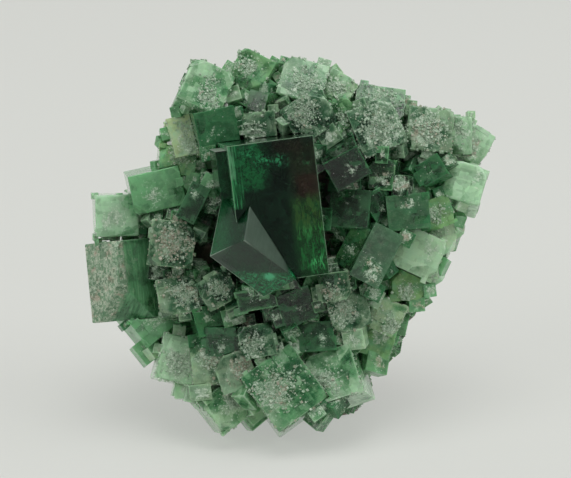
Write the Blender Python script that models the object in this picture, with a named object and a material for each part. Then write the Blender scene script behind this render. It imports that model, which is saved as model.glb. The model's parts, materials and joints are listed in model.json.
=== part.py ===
"""A hand-size cluster of green fluorite on a piece of host rock.

Cubes of fluorite cover the front of the rock and wrap round its rim. The greatest one stands in the
middle with the corner of its twin growing through it. The cluster leans back and stands on the rock's
flat broken foot. Each crystal is its own solid: where two would cross, the one listed later stops
against the one listed before it, and the rock has a socket for every crystal that grows from it.
"""

import math
from collections import namedtuple

import bmesh
import bpy
from mathutils import Euler, Matrix, Quaternion, Vector, noise

MM = 0.001
LEAN_BACK = math.radians(18)  # how far the crystal-covered front leans back from upright
GAP = 0.3  # mm left between neighbouring crystals, and between a crystal and the rock
TIP_CLEARANCE = 0.35  # mm from the lowest crystal tip to the surface that the foot stands on

# The twin follows the spinel law: the same cube, turned 60 degrees about one of its body diagonals.
TWIN_TURN = math.radians(60)
TWIN_DIAGONAL = Vector((1, -1, 1))
TWIN_SIZE = Vector((7.6, 13.2, 17.0))
TWIN_CORNER = Vector((-7.7, 0.3, 15.3))
FAR = 60.0  # mm, more than any crystal reaches

# The rock, as lumps: middle and half-sizes in mm. The slab lies behind the crystals and leans with them,
# and the foot stands upright under it.
SLAB_MIDDLE, SLAB_HALF = Vector((1.0, 2.0, -16.5)), Vector((28.0, 27.0, 11.5))
FOOT_MIDDLE, FOOT_HALF = Vector((-2.0, 16.5, -20.0)), Vector((15.5, 13.0, 24.0))
SLAB_BLOCKINESS = 2.4  # 2 is an ellipsoid, and more is nearer to a box
FOOT_BLOCKINESS = 3.0
ROCK_LUMPS = 0.13  # height of the lumps as a share of the rock's own radius

# Each crystal is placed by the middle of the face that looks out of the cluster. across, up and out are
# mm in the plane of the cluster's front: to the right, up it, and out towards whoever looks at it.
# turn spins that face anticlockwise, swing makes it look to the right and lean makes it look up.
# chips lists corners lost along the octahedral cleavage, as the corner's signs and the depth in mm.
Crystal = namedtuple(
    "Crystal", "name across up out width height depth turn swing lean tone chips", defaults=((),)
)

CRYSTALS = (
    # the middle of the cluster
    Crystal("great_cube", -1.8, 5.3, 10, 14.6, 23.6, 18, 8, 10, -6, "deep"),
    Crystal("side_twin", 10.0, 12.6, 5.5, 6.5, 5.5, 8, 30, 5, -22, "deep"),
    Crystal("lozenge_cube", 15.2, -2.4, 3.5, 5.4, 10, 8, -27, 6, 0, "deep"),
    Crystal("blade_cube", -16.6, 6.8, 3, 3.3, 6.6, 7, -26, -6, 4, "deep"),
    # the top rim, from left to right
    Crystal("horn_cube", -14.4, 27.3, 0.5, 8, 8.2, 9, -25, 12, 12, "mint"),
    Crystal("crown_cube", -6.8, 30.2, -3, 6.6, 6.8, 9, -28, -8, 14, "leaf"),
    Crystal("boulder_cube", 2.5, 28.6, -2, 7.8, 7.6, 9, -17, 6, 20, "mint"),
    Crystal("saddle_cube", 8.8, 27.4, -3.5, 5.4, 5.2, 8, -32, 4, 16, "mint"),
    Crystal("ridge_cube", 16.2, 24.6, -4.5, 8.6, 6.6, 9, -8, 6, 24, "leaf"),
    Crystal("shoulder_cube", 25.0, 19.9, -2.5, 8, 7.6, 9, -6, 4, 8, "frost"),
    Crystal("pane_cube", 30.2, 19.0, -4, 4.8, 6.6, 8, -2, 10, 6, "mint"),
    Crystal("east_tip_cube", 33.2, 17.4, -5.5, 5.4, 6.2, 8, -30, 14, 4, "mint"),
    Crystal("mint_cube", 31.2, 10.6, -3, 6.8, 7, 9, -17, -2, 14, "mint"),
    # the field above and right of the great cube
    Crystal("snow_cube", 15.4, 20.2, 0.5, 8, 8.6, 9, 23, 0, 4, "frost"),
    Crystal("dark_north_cube", -12.6, 20.0, 1.5, 7, 6, 9, 13, 10, -8, "deep"),
    Crystal("north_grey_cube", 3.6, 21.8, 2.5, 7.8, 7, 9, 33, 4, -5, "frost"),
    Crystal("north_step_cube", -5.2, 19.8, 1.5, 5.8, 5.4, 8, 6, -6, -6, "frost"),
    Crystal("north_gem", -5.6, 24.4, 0, 3.8, 3.8, 6, -14, -34, 4, "deep"),
    Crystal("reed_cube", 9.3, 22.4, 0, 4.8, 4.8, 8, 36, 8, 0, "leaf"),
    Crystal("bright_step_cube", 16.2, 11.8, 1, 4.4, 5.2, 8, -4, -16, 2, "leaf"),
    Crystal("slate_cube", 20.8, 5.2, 1.5, 7.2, 6, 9, 6, 2, 0, "deep"),
    Crystal("east_gem", 25.0, 12.6, -1, 4.6, 4, 7, 32, -20, 10, "deep"),
    Crystal("pit_cube", 10.6, 5.8, 1, 7, 6.6, 8, -4, -14, 8, "deep"),
    Crystal("edge_gem", 15.8, 6.6, 1, 4.4, 5, 7, 34, 22, 0, "deep"),
    # the right side, downwards
    Crystal("olive_cube", 26.2, 5.0, -2, 5.6, 5.2, 8, 22, 12, 0, "leaf"),
    Crystal("pale_east_cube", 27.0, 0.8, -4, 5.6, 6, 8, 14, 16, 0, "mint"),
    Crystal("mint_block", 23.0, -2.0, -1.5, 8, 7.4, 9, -24, 12, -2, "mint"),
    Crystal("honey_cube", 21.2, -7.6, -3, 6, 5.4, 8, 4, 12, -4, "leaf"),
    Crystal("green_blade_cube", 11.6, -1.0, 1.5, 4.6, 8, 7, -30, -26, 0, "deep"),
    Crystal("east_low_cube", 17.2, -13.2, -3, 6, 6, 8, -26, 12, -6, "mint"),
    Crystal("east_foot_cube", 16.0, -17.6, -5.0, 5.6, 6.0, 8, -18, 12, -6, "leaf"),
    # the bottom of the cluster
    Crystal("south_cube", -0.8, -25.4, 1, 10.5, 11.5, 11, 36, 0, 12, "mint"),
    Crystal("south_east_cube", 7.8, -23.2, 0, 8.2, 8.6, 10, 20, -16, 14, "mint"),
    Crystal("south_tip_cube", -11.0, -29.2, -1.5, 6.2, 7.2, 9, 38, 14, 4, "mint"),
    Crystal("pale_slab_cube", -18.8, -21.0, -3.5, 8.2, 8.0, 9, -14, 10, 6, "mint"),
    Crystal("dull_cube", -14.2, -21.6, -1, 5.6, 7, 8, 6, 6, 0, "frost"),
    Crystal("rose_cube", -9.4, -22.8, -0.5, 6.4, 6.4, 8, 20, 0, 4, "frost"),
    Crystal("step_cube", -5.6, -17.4, 0.5, 6, 5.6, 8, 12, 0, 0, "frost"),
    Crystal("window_cube", -11.6, -17.6, -0.5, 6, 5.2, 8, 0, 4, -10, "deep"),
    Crystal("frost_step_cube", 10.6, -12.2, 0.5, 6.8, 6.6, 9, 16, 4, -6, "frost"),
    Crystal("grey_step_cube", 8.0, -7.8, 2.5, 5.2, 4.8, 8, 9, 4, -8, "frost"),
    Crystal("core_cube", 1.4, -11.4, 0.5, 6, 6, 8, 22, 10, -12, "deep"),
    Crystal("south_gem", 5.0, -16.6, -0.5, 6.4, 5, 8, 4, -10, 10, "deep"),
    Crystal("glow_cube", -5.6, -10.0, 3.5, 6.6, 3.6, 8, 12, 0, -22, "leaf"),
    # the left side, upwards
    Crystal("west_block", -26.4, -6.6, -4.0, 9.4, 14.0, 9, 4, 42, 4, "leaf", (((-1, -1, 1), 4.0),)),
    Crystal("west_tip_cube", -24.4, -13.6, -5.5, 7.0, 7.0, 8, 38, 16, 10, "leaf"),
    Crystal("west_pale_cube", -30.4, 4.6, -3, 7.4, 7.2, 8, 2, 10, -4, "mint"),
    Crystal("nw_green_cube", -23.2, 9.0, -1.5, 9, 6.8, 9, 13, 10, -8, "leaf"),
    Crystal("frost_west_cube", -20.4, -0.4, 1.5, 7.6, 7.8, 9, -6, 6, 0, "frost"),
    Crystal("frost_knob_cube", -19.4, -9.4, 0, 7, 6.4, 8, 9, 4, 10, "frost"),
    Crystal("twin_side_cube", -12.4, -8.4, 2.5, 5.8, 5.4, 8, 30, 4, 0, "frost"),
    Crystal("dark_west_cube", -13.6, -13.6, 0, 5.6, 5, 8, 16, 12, 0, "deep"),
    Crystal("nw_pale_cube", -17.6, 19.0, -2.5, 6.6, 7, 8, 14, 8, 10, "mint"),
    Crystal("nw_step_cube", -19.6, 14.4, -2.5, 6.4, 5, 8, -6, 8, 0, "leaf"),
    # round the edge and on the back, where the rock shows between them
    Crystal("back_top_cube", 3.0, 31.0, -15, 8, 8, 8, 20, 14, 78, "mint"),
    Crystal("back_east_cube", 30.5, 4.0, -17, 8, 9, 9, 24, 72, 8, "leaf"),
    Crystal("back_west_cube", -29.5, 8.0, -17, 8, 7, 8, 12, -74, 10, "mint"),
    Crystal("back_corner_cube", -14.0, 18.0, -27.5, 7, 7, 7, 30, -150, 30, "leaf"),
)

Tone = namedtuple("Tone", "colour roughness")
TONES = {
    "deep": Tone((0.02, 0.16, 0.06, 1), 0.08),
    "leaf": Tone((0.10, 0.34, 0.15, 1), 0.15),
    "mint": Tone((0.33, 0.62, 0.40, 1), 0.20),
    "frost": Tone((0.50, 0.58, 0.47, 1), 0.60),
    "rock": Tone((0.30, 0.25, 0.19, 1), 0.90),
}


def clear_scene():
    """Empty the scene before building."""
    for obj in list(bpy.data.objects):
        bpy.data.objects.remove(obj)


def material(tone):
    """The Principled material of a tone, made once."""
    name = f"fluorite_{tone}" if tone != "rock" else "host_rock"
    found = bpy.data.materials.get(name)
    if found:
        return found
    made = bpy.data.materials.new(name)
    made.use_nodes = True
    shader = made.node_tree.nodes["Principled BSDF"]
    shader.inputs["Base Color"].default_value = TONES[tone].colour
    shader.inputs["Roughness"].default_value = TONES[tone].roughness
    shader.inputs["Metallic"].default_value = 0.0
    made.diffuse_color = TONES[tone].colour
    return made


def facing(turn, swing, lean):
    """The rotation that a crystal's turn, swing and lean give, in the plane of the cluster's front."""
    return Euler((-math.radians(lean), math.radians(swing), math.radians(turn)), "ZXY").to_matrix()


def cluster_frame():
    """From the plane of the cluster's front to the world, with the leaning back and without the shift."""
    return Matrix.Rotation(math.pi / 2 - LEAN_BACK, 4, "X")


def box_of(crystal):
    """A crystal's own frame, centred in its box, and its three sides in mm."""
    turned = facing(crystal.turn, crystal.swing, crystal.lean)
    face_middle = Vector((crystal.across, crystal.up, crystal.out))
    centre = face_middle - turned @ Vector((0, 0, crystal.depth / 2))
    sides = Vector((crystal.width, crystal.height, crystal.depth))
    return Matrix.Translation(centre) @ turned.to_4x4(), sides


def twin_box():
    """The twin's frame and sides. Its nearest corner stands out through the great cube's front."""
    host = CRYSTALS[0]
    law = Quaternion(TWIN_DIAGONAL, TWIN_TURN).to_matrix()
    turned = facing(host.turn, host.swing, host.lean) @ law
    # The corner that stands out is the one at the high end of each axis that looks outwards.
    outward = [1 if turned.col[axis].z > 0 else -1 for axis in range(3)]
    half = Vector([side / 2 * sign for side, sign in zip(TWIN_SIZE, outward)])
    centre = TWIN_CORNER - turned @ half
    return Matrix.Translation(centre) @ turned.to_4x4(), TWIN_SIZE


def twin_front():
    """The space in front of the twin's lowest face, which the great cube doesn't grow into."""
    frame, sides = twin_box()
    return frame @ Matrix.Translation((0, 0, (sides.z + FAR) / 2)), Vector((FAR, FAR, FAR))


def chip_corner(mesh_data, sides, signs, depth):
    """Cut one corner off a box along the octahedral cleavage, which meets all three faces alike."""
    normal = Vector(signs).normalized()
    corner = Vector([side / 2 * sign for side, sign in zip(sides, signs)])
    cut = bmesh.ops.bisect_plane(
        mesh_data,
        geom=mesh_data.verts[:] + mesh_data.edges[:] + mesh_data.faces[:],
        plane_co=corner - normal * depth,
        plane_no=normal,
        clear_outer=True,
    )
    rim = [part for part in cut["geom_cut"] if isinstance(part, bmesh.types.BMEdge)]
    bmesh.ops.contextual_create(mesh_data, geom=rim)


def block(name, frame, sides, grow=0.0, chips=()):
    """A box as a mesh object, in mm in the plane of the cluster's front, grown outwards by grow."""
    mesh_data = bmesh.new()
    bmesh.ops.create_cube(mesh_data, size=1.0)
    bmesh.ops.scale(mesh_data, vec=sides + Vector((2 * grow,) * 3), verts=mesh_data.verts[:])
    for signs, depth in chips:
        chip_corner(mesh_data, sides, signs, depth)
    bmesh.ops.recalc_face_normals(mesh_data, faces=mesh_data.faces[:])
    mesh = bpy.data.meshes.new(name)
    mesh_data.to_mesh(mesh)
    mesh_data.free()
    obj = bpy.data.objects.new(name, mesh)
    bpy.context.scene.collection.objects.link(obj)
    obj.matrix_world = frame
    return obj


def corners_of(frame, sides, grow=0.0):
    """The eight corners of a box grown by grow."""
    half = sides / 2 + Vector((grow,) * 3)
    return [
        frame @ Vector((x * half.x, y * half.y, z * half.z))
        for x in (-1, 1)
        for y in (-1, 1)
        for z in (-1, 1)
    ]


def cross(first, second):
    """Whether two boxes cross, by the separating axis test."""
    one, two = (corners_of(*box, grow=GAP) for box in (first, second))
    axes_one, axes_two = ([box[0].to_3x3().col[i] for i in range(3)] for box in (first, second))
    tests = [*axes_one, *axes_two, *(a.cross(b) for a in axes_one for b in axes_two)]
    for axis in tests:
        if axis.length < 1e-6:
            continue
        spans = [[corner.dot(axis) for corner in corners] for corners in (one, two)]
        if max(spans[0]) < min(spans[1]) or max(spans[1]) < min(spans[0]):
            return False
    return True


def islands(mesh_data):
    """The vertices of a bmesh in connected groups."""
    left, groups = set(mesh_data.verts), []
    while left:
        group, reach = set(), [left.pop()]
        while reach:
            vertex = reach.pop()
            group.add(vertex)
            near = {edge.other_vert(vertex) for edge in vertex.link_edges} & left
            left -= near
            reach.extend(near)
        groups.append(group)
    return groups


def spread(group):
    """How large a group of vertices is, as the sum of its sides."""
    return sum(max(v.co[i] for v in group) - min(v.co[i] for v in group) for i in range(3))


def cut_away(obj, cutters, operation="DIFFERENCE"):
    """Take the cutters away from a mesh object, and keep only the largest piece that is left."""
    for cutter in cutters:
        modifier = obj.modifiers.new(cutter.name, "BOOLEAN")
        modifier.operation = operation
        modifier.object = cutter
    bpy.context.view_layer.update()
    graph = bpy.context.evaluated_depsgraph_get()
    done = bpy.data.meshes.new_from_object(obj.evaluated_get(graph), depsgraph=graph)
    obj.modifiers.clear()
    mesh_data = bmesh.new()
    mesh_data.from_mesh(done)
    bmesh.ops.remove_doubles(mesh_data, verts=mesh_data.verts[:], dist=0.002)
    for group in sorted(islands(mesh_data), key=spread)[:-1]:
        bmesh.ops.delete(mesh_data, geom=list(group), context="VERTS")
    mesh_data.to_mesh(done)
    mesh_data.free()
    obj.data = done
    return obj


def lump(name, middle, half, power, seed):
    """A rough boulder: an icosphere made blocky, stretched to its half-sizes and pushed in and out."""
    mesh_data = bmesh.new()
    bmesh.ops.create_icosphere(mesh_data, subdivisions=4, radius=1.0)
    for vertex in mesh_data.verts:
        way = vertex.co.normalized()
        reach = sum(abs(part) ** power for part in way) ** (-1 / power)
        broad = noise.noise(way * 1.7 + Vector((seed, 0, 0)))
        fine = noise.noise(way * 4.5 + Vector((0, seed, 0)))
        vertex.co = way * reach * (1 + ROCK_LUMPS * (broad + 0.5 * fine))
        vertex.co = Vector([part * size for part, size in zip(vertex.co, half)])
    mesh = bpy.data.meshes.new(name)
    mesh_data.to_mesh(mesh)
    mesh_data.free()
    obj = bpy.data.objects.new(name, mesh)
    bpy.context.scene.collection.objects.link(obj)
    obj.location = middle
    return obj


def host_rock(boxes, floor):
    """The rock: a leaning slab joined to an upright foot, flat at the floor, with the crystals' sockets."""
    upright = cluster_frame().inverted()
    slab = lump("host_rock", SLAB_MIDDLE, SLAB_HALF, SLAB_BLOCKINESS, 3.0)
    foot = lump("foot", Vector((0, 0, 0)), FOOT_HALF, FOOT_BLOCKINESS, 7.0)
    foot.matrix_world = upright @ Matrix.Translation(FOOT_MIDDLE)
    below = block("below", upright @ Matrix.Translation((0, 0, floor - 50)), Vector((200, 200, 100)))
    cut_away(slab, [foot], "UNION")
    sockets = [block("socket", frame, sides, GAP) for frame, sides in boxes]
    cut_away(slab, [below, *sockets])
    for helper in [foot, below, *sockets]:
        bpy.data.objects.remove(helper)
    return slab


def crystals():
    """Every crystal, each stopped against those before it, as (object, tone) pairs, and their boxes."""
    listed = [(c.name, box_of(c), c.tone, c.chips) for c in CRYSTALS]
    listed.insert(0, ("great_twin", twin_box(), "deep", ()))
    made, boxes = [], []
    for name, box, tone, chips in listed:
        obj = block(name, *box, chips=chips)
        others = [other for other in boxes if cross(box, other)]
        if name == "great_cube":
            others.append(twin_front())
        cutters = [block("cutter", *other, grow=GAP) for other in others]
        if cutters:
            cut_away(obj, cutters)
        for cutter in cutters:
            bpy.data.objects.remove(cutter)
        made.append((obj, tone))
        boxes.append(box)
    return made, boxes


def world_corners(objects):
    """Every vertex of the objects, where it stands in the world."""
    bpy.context.view_layer.update()
    return [obj.matrix_world @ vertex.co for obj in objects for vertex in obj.data.vertices]


def stand_up(objects):
    """Lean the cluster back, scale mm to metres, and put the middle of its underside at the origin."""
    stand = cluster_frame()
    for obj in objects:
        obj.matrix_world = stand @ obj.matrix_world
    points = world_corners(objects)
    low = Vector([min(p[i] for p in points) for i in range(3)])
    high = Vector([max(p[i] for p in points) for i in range(3)])
    shift = Matrix.Translation((-(low.x + high.x) / 2, -(low.y + high.y) / 2, -low.z))
    for obj in objects:
        obj.matrix_world = Matrix.Diagonal((MM, MM, MM, 1)) @ shift @ obj.matrix_world
        obj.data.transform(Matrix.Diagonal(obj.matrix_world.to_scale()).to_4x4())
        place, rotation, _ = obj.matrix_world.decompose()
        obj.matrix_world = Matrix.LocRotScale(place, rotation, None)


def main():
    clear_scene()
    made, boxes = crystals()
    stand = cluster_frame()
    lowest = min((stand @ corner).z for box in boxes for corner in corners_of(*box))
    rock = host_rock(boxes, lowest - TIP_CLEARANCE)
    pieces = [*made, (rock, "rock")]
    stand_up([obj for obj, _ in pieces])
    cluster = bpy.data.collections.new("fluorite_specimen")
    bpy.context.scene.collection.children.link(cluster)
    for obj, tone in pieces:
        obj.data.materials.clear()
        obj.data.materials.append(material(tone))
        bpy.context.scene.collection.objects.unlink(obj)
        cluster.objects.link(obj)


main()
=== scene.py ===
"""The looks of a cluster of green fluorite on its host rock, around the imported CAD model.

Each crystal takes its shape from its CAD solid: the solid's faces are moved out by a hair so that
neighbours meet, and its edges are rounded. Small crystals that grew parallel to a face, and the druse
between the large ones, are added as closed boxes. Every pattern on a crystal is laid out along that
crystal's own three axes, which its surface carries with it as attributes.
"""

import json
import math

import bmesh
import bpy
import numpy as np
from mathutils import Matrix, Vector
from mathutils.bvhtree import BVHTree


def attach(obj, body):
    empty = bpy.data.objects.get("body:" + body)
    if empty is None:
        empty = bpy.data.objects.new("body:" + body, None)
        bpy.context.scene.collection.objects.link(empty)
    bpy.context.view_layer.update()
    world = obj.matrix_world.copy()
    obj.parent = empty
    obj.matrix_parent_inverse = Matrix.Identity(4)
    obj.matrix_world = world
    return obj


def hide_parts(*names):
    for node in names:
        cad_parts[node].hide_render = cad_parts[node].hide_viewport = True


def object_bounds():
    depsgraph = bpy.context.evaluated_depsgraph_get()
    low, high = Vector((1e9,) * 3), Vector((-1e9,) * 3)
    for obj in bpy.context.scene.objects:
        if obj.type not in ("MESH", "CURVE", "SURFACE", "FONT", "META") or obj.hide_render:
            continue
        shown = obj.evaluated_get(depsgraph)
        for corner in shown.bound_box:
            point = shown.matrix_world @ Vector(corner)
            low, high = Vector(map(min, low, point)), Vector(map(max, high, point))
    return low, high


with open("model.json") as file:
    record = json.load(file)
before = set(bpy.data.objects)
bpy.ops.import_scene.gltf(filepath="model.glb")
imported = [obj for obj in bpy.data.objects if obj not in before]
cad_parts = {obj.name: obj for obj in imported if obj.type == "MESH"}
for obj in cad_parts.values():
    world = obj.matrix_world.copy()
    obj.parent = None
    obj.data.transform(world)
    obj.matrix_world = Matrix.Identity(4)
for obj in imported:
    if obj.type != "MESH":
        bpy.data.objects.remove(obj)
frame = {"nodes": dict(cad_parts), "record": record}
cad_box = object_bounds()
SCENE = bpy.context.scene
MM = 0.001

SEAM = 0.11  # mm that each crystal's faces move out, to close the gap that the CAD solids keep
EDGE = {"deep": 0.06, "leaf": 0.18, "mint": 0.42, "frost": 0.28}  # mm of rounding on edges, by tone
ROOM_LIGHT = 0.35  # strength of the pale room at its brightest
LEAN_BACK = math.radians(18)  # how far the crystal-covered front leans back from upright
GAP_CRYSTALS = 900  # tried in the gaps between the large crystals
ROCK_CRYSTALS = 1500  # tried on the rock
DRUSE_DENSITY = 32.0  # tiny crystals for each mm2 of a fully frosted face, before the mats thin out
EYE_DISTANCE = 0.300  # m from the cluster's middle to the camera
IOR = 1.434  # fluorite's refractive index

# The cluster's front: the ways across it, up it and out of it.
FRONT = np.array(
    [
        (1.0, 0.0, 0.0),
        (0.0, math.sin(LEAN_BACK), math.cos(LEAN_BACK)),
        (0.0, -math.cos(LEAN_BACK), math.sin(LEAN_BACK)),
    ]
)
MIDDLE = np.array([(a + b) / 2 for a, b in zip(*cad_box)])

# How each crystal looks: frost is how much of it is etched white, stain is how pink the frost is, and
# olive turns its green towards yellow, all from 0 to 1. The last number is how much lighter than its
# tone the crystal is painted: 0 is the tone itself, below 0 is darker. It is partly the crystal's own
# tone and partly painted light and shade, for how light falls on it and shines through it.
#
# The last numbers aren't a builder's free choice. Scratch programs worked 54 of the 59 out from how
# bright each crystal is in the photograph and in a render. 22 stand as the programs wrote them, and 32
# were typed over later from the same comparison. report.md says which, under "Rules that were not kept".
CRYSTAL_LOOKS = {
    "great_cube": (0.05, 0.15, 0.05, 0.00),
    "great_twin": (0.03, 0.00, 0.00, 0.00),
    "side_twin": (0.12, 0.10, 0.10, -0.50),
    "lozenge_cube": (0.34, 0.55, 0.10, 0.70),
    "blade_cube": (0.10, 0.00, 0.10, 0.15),
    "horn_cube": (0.42, 0.10, 0.05, 0.15),
    "crown_cube": (0.45, 0.15, 0.40, 0.20),
    "boulder_cube": (0.72, 0.10, 0.10, -0.20),
    "saddle_cube": (0.55, 0.15, 0.20, 0.25),
    "ridge_cube": (0.45, 0.25, 0.25, -0.10),
    "shoulder_cube": (0.70, 0.50, 0.10, 0.45),
    "pane_cube": (0.45, 0.20, 0.05, 0.45),
    "east_tip_cube": (0.75, 0.45, 0.05, 0.95),
    "mint_cube": (0.30, 0.05, 0.05, 0.70),
    "snow_cube": (0.74, 0.30, 0.00, 0.00),
    "dark_north_cube": (0.22, 0.05, 0.05, 1.10),
    "north_grey_cube": (0.62, 0.25, 0.00, 0.00),
    "north_step_cube": (0.55, 0.20, 0.10, 0.15),
    "north_gem": (0.18, 0.20, 0.50, 0.35),
    "reed_cube": (0.40, 0.20, 0.30, 0.05),
    "bright_step_cube": (0.30, 0.40, 0.40, -0.50),
    "slate_cube": (0.28, 0.45, 0.25, 0.85),
    "east_gem": (0.16, 0.20, 0.20, 0.65),
    "pit_cube": (0.12, 0.20, 0.20, 0.25),
    "edge_gem": (0.25, 0.30, 0.10, 0.05),
    "olive_cube": (0.45, 0.25, 0.60, 1.35),
    "pale_east_cube": (0.50, 0.15, 0.20, 1.70),
    "mint_block": (0.32, 0.10, 0.10, 1.00),
    "honey_cube": (0.42, 0.30, 0.70, 1.40),
    "green_blade_cube": (0.22, 0.20, 0.60, 0.60),
    "east_low_cube": (0.42, 0.25, 0.30, 0.45),
    "east_foot_cube": (0.36, 0.20, 0.55, 0.85),
    "south_cube": (0.46, 0.45, 0.05, -0.05),
    "south_east_cube": (0.48, 0.35, 0.05, 0.25),
    "south_tip_cube": (0.40, 0.20, 0.15, 0.40),
    "pale_slab_cube": (0.55, 0.15, 0.05, 1.25),
    "dull_cube": (0.50, 0.50, 0.20, 0.55),
    "rose_cube": (0.52, 0.75, 0.10, 0.80),
    "step_cube": (0.60, 0.30, 0.10, -0.25),
    "window_cube": (0.25, 0.15, 0.05, 0.40),
    "frost_step_cube": (0.58, 0.40, 0.10, 0.05),
    "grey_step_cube": (0.50, 0.60, 0.15, -0.05),
    "core_cube": (0.14, 0.30, 0.20, -0.05),
    "south_gem": (0.12, 0.20, 0.20, 0.35),
    "glow_cube": (0.25, 0.10, 0.10, -0.25),
    "west_block": (0.28, 0.45, 0.05, 0.35),
    "west_tip_cube": (0.30, 0.20, 0.05, 1.60),
    "west_pale_cube": (0.38, 0.08, 0.00, 0.50),
    "nw_green_cube": (0.30, 0.15, 0.05, 1.00),
    "frost_west_cube": (0.60, 0.75, 0.10, 0.05),
    "frost_knob_cube": (0.58, 0.45, 0.15, 0.10),
    "twin_side_cube": (0.50, 0.45, 0.15, -0.10),
    "dark_west_cube": (0.18, 0.30, 0.30, 0.80),
    "nw_pale_cube": (0.62, 0.10, 0.60, 1.70),
    "nw_step_cube": (0.48, 0.35, 0.60, 1.00),
    "back_top_cube": (0.50, 0.20, 0.10, 0.20),
    "back_east_cube": (0.45, 0.25, 0.20, 0.30),
    "back_west_cube": (0.45, 0.20, 0.10, 1.30),
    "back_corner_cube": (0.45, 0.30, 0.30, 0.20),
}
LOOKS = {name: row[:3] for name, row in CRYSTAL_LOOKS.items()}
LIGHT = {name: row[3] for name, row in CRYSTAL_LOOKS.items()}

# How much of the front of a clear crystal gets a grey sheen painted into its colour, for the room it
# reflects.
PAINTED_SHEEN = {
    "lozenge_cube": 0.55,
    "pit_cube": 0.22,
    "slate_cube": 0.30,
    "north_gem": 0.22,
    "blade_cube": 0.20,
    "bright_step_cube": 0.20,
    "south_gem": 0.15,
}

# Where a frosted mat has its middle on a crystal's front, from -1 to 1 across and up.
MATS = {
    "horn_cube": (0.25, -0.50),
    "mint_cube": (0.55, 0.45),
    "boulder_cube": (0.30, -0.35),
    "snow_cube": (0.15, -0.15),
    "shoulder_cube": (-0.20, 0.05),
    "south_cube": (-0.40, 0.10),
    "south_east_cube": (-0.45, -0.10),
    "frost_west_cube": (0.10, 0.15),
    "west_block": (-0.60, 0.30),
    "east_tip_cube": (-0.40, -0.30),
    "north_grey_cube": (-0.10, 0.40),
    "lozenge_cube": (0.20, -0.55),
    "pit_cube": (-0.20, 0.35),
    "slate_cube": (0.10, 0.45),
}


# ---------------------------------------------------------------------------------------- shaders
class Sock:
    """A node socket that can be written in sums: it makes the Math or Vector Math nodes it needs."""

    def __init__(self, graph, socket):
        self.graph, self.socket = graph, socket

    @property
    def vector(self):
        return self.socket.type in ("VECTOR", "RGBA")

    def _calc(self, operation, other=None, swap=False):
        wide = self.vector or (isinstance(other, Sock) and other.vector) or isinstance(other, tuple)
        kind = "ShaderNodeVectorMath" if wide else "ShaderNodeMath"
        terms = [self] if other is None else ([other, self] if swap else [self, other])
        if wide:
            terms = [(t, t, t) if isinstance(t, (int, float)) else t for t in terms]
        return self.graph.node(kind, dict(operation=operation), terms)

    def __add__(self, other):
        return self._calc("ADD", other)

    def __radd__(self, other):
        return self._calc("ADD", other, swap=True)

    def __sub__(self, other):
        return self._calc("SUBTRACT", other)

    def __rsub__(self, other):
        return self._calc("SUBTRACT", other, swap=True)

    def __mul__(self, other):
        return self._calc("MULTIPLY", other)

    def __rmul__(self, other):
        return self._calc("MULTIPLY", other, swap=True)

    def __truediv__(self, other):
        return self._calc("DIVIDE", other)

    def abs(self):
        return self._calc("ABSOLUTE")

    def floor(self):
        return self._calc("FLOOR")

    def power(self, other):
        return self._calc("POWER", other)

    def min(self, other):
        return self._calc("MINIMUM", other)

    def max(self, other):
        return self._calc("MAXIMUM", other)

    def step(self, low, high):
        """0 below low and 1 above high, with a smooth rise between."""
        settings = dict(interpolation_type="SMOOTHSTEP")
        inputs = {"Value": self, "From Min": low, "From Max": high}
        return self.graph.node("ShaderNodeMapRange", settings, inputs)

    def parts(self):
        split = self.graph.tree.nodes.new("ShaderNodeSeparateXYZ")
        self.graph.join(self, split.inputs[0])
        return [Sock(self.graph, out) for out in split.outputs]


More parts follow.
